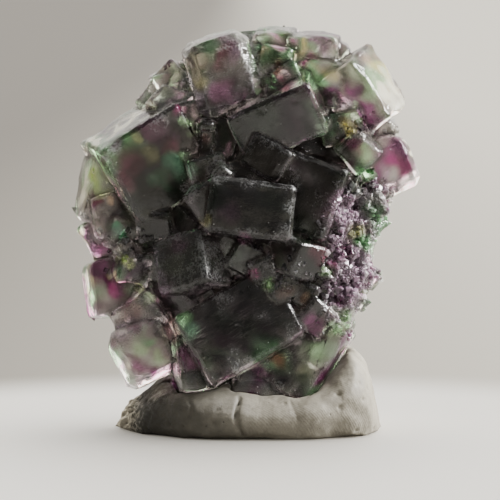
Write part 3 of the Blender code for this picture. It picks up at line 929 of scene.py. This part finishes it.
def putty():
    bm = welded("putty_base")
    refine(bm, PUTTY_COARSE)
    raised = [v for v in bm.verts if v.co.z > PUTTY_FOOT]
    for _ in range(3):
        smooth(bm, raised, 0.5)
    refine(bm, PUTTY_EDGE)
    bm.verts.ensure_lookup_table()
    press_skin(bm, random.Random(PUTTY_SEED))
    for face in bm.faces:
        face.smooth = True
    obj = new_object("putty", bm)
    obj.data.set_sharp_from_angle(angle=PUTTY_SMOOTH_ANGLE)
    obj.data.materials.append(putty_material())
    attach(obj, "root")
    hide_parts("putty_base")
    return obj


def putty_colour(nodes, where, across, fine, speck):
    """Mottled grey-beige with crumbs and dark specks, painted shade darker to the left, and painted back
    light paler at the torn end.
    """
    mottle = nodes.ramp(nodes.noise(where, 0.16, 5.0, 0.6), 0.32, 0.68)
    colour = nodes.mix(mottle, PUTTY_DARK, PUTTY_LIGHT)
    colour = nodes.mix(nodes.math("MULTIPLY", fine, 0.35), colour, PUTTY_CRUMB)
    colour = nodes.mix(nodes.math("MULTIPLY", speck, 0.8), colour, PUTTY_SPECK)
    # Painted shade, darker towards the left
    wavy = nodes.math("ADD", across, nodes.math("MULTIPLY", mottle, 6.0))
    painted_left_shade = nodes.scaled(colour, nodes.ramp(wavy, -22.0, 20.0, 0.12, 1.0))
    # Painted back light, paler at the torn end
    painted_backlit_end = nodes.math("ADD", across, nodes.math("MULTIPLY", fine, 3.0))
    return nodes.mix(nodes.ramp(painted_backlit_end, -21.5, -18.5, 0.8, 0.0), painted_left_shade, PUTTY_PAINTED_BACKLIGHT)


def putty_relief(nodes, where, across, speck):
    """Finger ridges at the right end, fine skin lines in some places, lumps and sunk specks."""
    waves = {"Vector": where, "Scale": 0.33, "Distortion": 3.0, "Detail": 1.0, "Detail Scale": 0.2}
    ridges = nodes.add("ShaderNodeTexWave", waves, wave_type="RINGS", rings_direction="Y").outputs["Fac"]
    pressed = nodes.math("MULTIPLY", ridges, nodes.ramp(across, 14.0, 20.0))
    lines = {"Vector": where, "Scale": 0.9, "Distortion": 3.0, "Detail": 2.0, "Detail Scale": 0.6}
    skin = nodes.add("ShaderNodeTexWave", lines, bands_direction="DIAGONAL").outputs["Fac"]
    skin = nodes.math("MULTIPLY", skin, nodes.ramp(nodes.noise(where, 0.12, 2.0), 0.42, 0.58))
    normal = nodes.bump(pressed, 0.03 * MM, 0.5)
    normal = nodes.bump(skin, 0.03 * MM, 0.5, normal)
    normal = nodes.bump(nodes.noise(where, 2.2, 5.0, 0.7), 0.12 * MM, 0.7, normal)
    return nodes.bump(nodes.math("SUBTRACT", 1.0, speck), 0.15 * MM, 0.6, normal)


def putty_material():
    material, nodes, shader, _ = new_material("Putty")
    where = nodes.place()
    across = nodes.add("ShaderNodeSeparateXYZ", {"Vector": where}).outputs["X"]
    fine = nodes.ramp(nodes.noise(where, 1.4, 4.0, 0.7), 0.35, 0.65)
    speck = nodes.ramp(nodes.cells(where, 0.55).outputs["Distance"], 0.06, 0.14, 1.0, 0.0)
    speck = nodes.math("MULTIPLY", speck, nodes.ramp(nodes.noise(where, 0.7, 1.0), 0.52, 0.6))
    nodes.put(shader.inputs["Base Color"], putty_colour(nodes, where, across, fine, speck))
    nodes.put(shader.inputs["Roughness"], nodes.ramp(fine, 0.0, 1.0, 0.5, 0.8))
    nodes.put(shader.inputs["Normal"], putty_relief(nodes, where, across, speck))
    return material


# Studio

def area_light(name, place, size, power, colour):
    """A round light at a place, turned to the middle of the object and hidden from the camera."""
    light = bpy.data.lights.new(name, "AREA")
    light.shape = "DISK"
    light.size = size
    light.energy = power
    light.color = colour
    obj = bpy.data.objects.new(name, light)
    obj.location = place
    obj.rotation_mode = "QUATERNION"
    obj.rotation_quaternion = (Vector(LIT_POINT) - Vector(place)).to_track_quat("-Z", "Y")
    obj.visible_camera = False
    bpy.context.scene.collection.objects.link(obj)
    return obj


def lights():
    """Two warm lights behind, a weak fill and a strong key from the right; only the key is reflected."""
    back = area_light("back_light", (-0.20, 0.34, 0.26), size=0.36, power=10.0, colour=(1.0, 0.96, 0.86))
    rim = area_light("rim_light", (0.30, 0.28, 0.16), size=0.30, power=6.5, colour=(1.0, 0.97, 0.89))
    fill = area_light("fill_light", (0.30, -0.52, 0.35), size=0.4, power=1.6, colour=(0.98, 0.99, 1.0))
    area_light("key_light", (0.48, -0.02, 0.34), size=0.22, power=16.0, colour=(1.0, 0.99, 0.97))
    for light in (back, rim, fill):
        light.visible_glossy = False


def overhead():
    """Even light over the whole floor, with a soft shadow under the object."""
    sun = bpy.data.lights.new("overhead", "SUN")
    sun.energy = SUN_POWER
    sun.angle = SUN_SPREAD
    sun.color = SUN_COLOUR
    obj = bpy.data.objects.new("overhead", sun)
    obj.rotation_euler = SUN_TURN
    bpy.context.scene.collection.objects.link(obj)
    return obj


def link_lights(pieces, ground, sun):
    """The area lights reach the object alone and the overhead one the floor, which stays evenly lit."""
    lit = bpy.data.collections.new("Lit")
    for obj in pieces:
        lit.objects.link(obj)
    for obj in bpy.context.scene.objects:
        if obj.type == "LIGHT":
            obj.light_linking.receiver_collection = lit
    stage = bpy.data.collections.new("Ground")
    stage.objects.link(ground)
    sun.light_linking.receiver_collection = stage


def world():
    """A dim sky, brighter behind, above and at the right."""
    studio = bpy.data.worlds.new("Studio")
    studio.use_nodes = True
    nodes = Nodes(studio.node_tree)
    direction = nodes.add("ShaderNodeTexCoord").outputs["Generated"]
    parts = nodes.add("ShaderNodeSeparateXYZ", {"Vector": direction}).outputs
    behind = nodes.ramp(parts["Y"], -0.6, 0.5, 0.25, 1.4)
    side = nodes.ramp(parts["X"], -0.6, 0.6, 0.6, 1.3)
    rise = nodes.ramp(parts["Z"], 0.0, 0.5, 0.8, 1.2)
    strength = nodes.math("MULTIPLY", nodes.math("MULTIPLY", behind, side), rise)
    background = studio.node_tree.nodes["Background"]
    background.inputs["Color"].default_value = SKY_COLOUR
    nodes.put(background.inputs["Strength"], strength)
    bpy.context.scene.world = studio


def floor_material():
    """A pale pool around the object, and a far floor from grey painted shade at the left to pale painted
    light at the right.
    """
    material, nodes, shader, _ = new_material("Floor")
    where = nodes.place()
    shifted = nodes.add("ShaderNodeVectorMath", {0: where, 1: PALE_SHIFT}, operation="ADD")
    away = nodes.add("ShaderNodeVectorMath", {0: shifted.outputs["Vector"]}, operation="LENGTH")
    side = nodes.add("ShaderNodeSeparateXYZ", {"Vector": where}).outputs["X"]
    far = nodes.mix(nodes.ramp(side, *FLOOR_SHADE_SIDES), FLOOR_SHADED_LEFT, FLOOR_LIT_RIGHT)
    colour = nodes.mix(nodes.ramp(away.outputs["Value"], *PALE_EDGE), FLOOR_PALE, far)
    nodes.put(shader.inputs["Base Color"], colour)
    shader.inputs["Roughness"].default_value = 0.6
    return material


def floor():
    """A wide floor, flat under the object and rising far away."""
    bm = bmesh.new()
    bmesh.ops.create_grid(bm, x_segments=FLOOR_CELLS, y_segments=FLOOR_CELLS, size=FLOOR_REACH)
    for vert in bm.verts:
        away = max(0.0, vert.co.length - FLOOR_FLAT) / FLOOR_REACH
        vert.co.z = FLOOR_RISE * away * away
    for face in bm.faces:
        face.smooth = True
    obj = new_object("floor", bm)
    obj.data.materials.append(floor_material())
    return obj


def camera():
    data = bpy.data.cameras.new("camera")
    obj = bpy.data.objects.new("camera", data)
    bpy.context.scene.collection.objects.link(obj)
    back = Vector((0.0, -math.cos(VIEW_ELEVATION), math.sin(VIEW_ELEVATION)))
    obj.location = VIEW_TARGET + back * VIEW_DISTANCE
    obj.rotation_mode = "QUATERNION"
    obj.rotation_quaternion = (-back).to_track_quat("-Z", "Y")
    data.sensor_width = SENSOR
    data.lens = SENSOR * VIEW_DISTANCE / VIEW_WIDTH
    data.clip_start = 0.01
    data.clip_end = 100.0
    bpy.context.scene.camera = obj


camera()
world()
lights()
link_lights([crystals(), druse(), putty()], floor(), overhead())
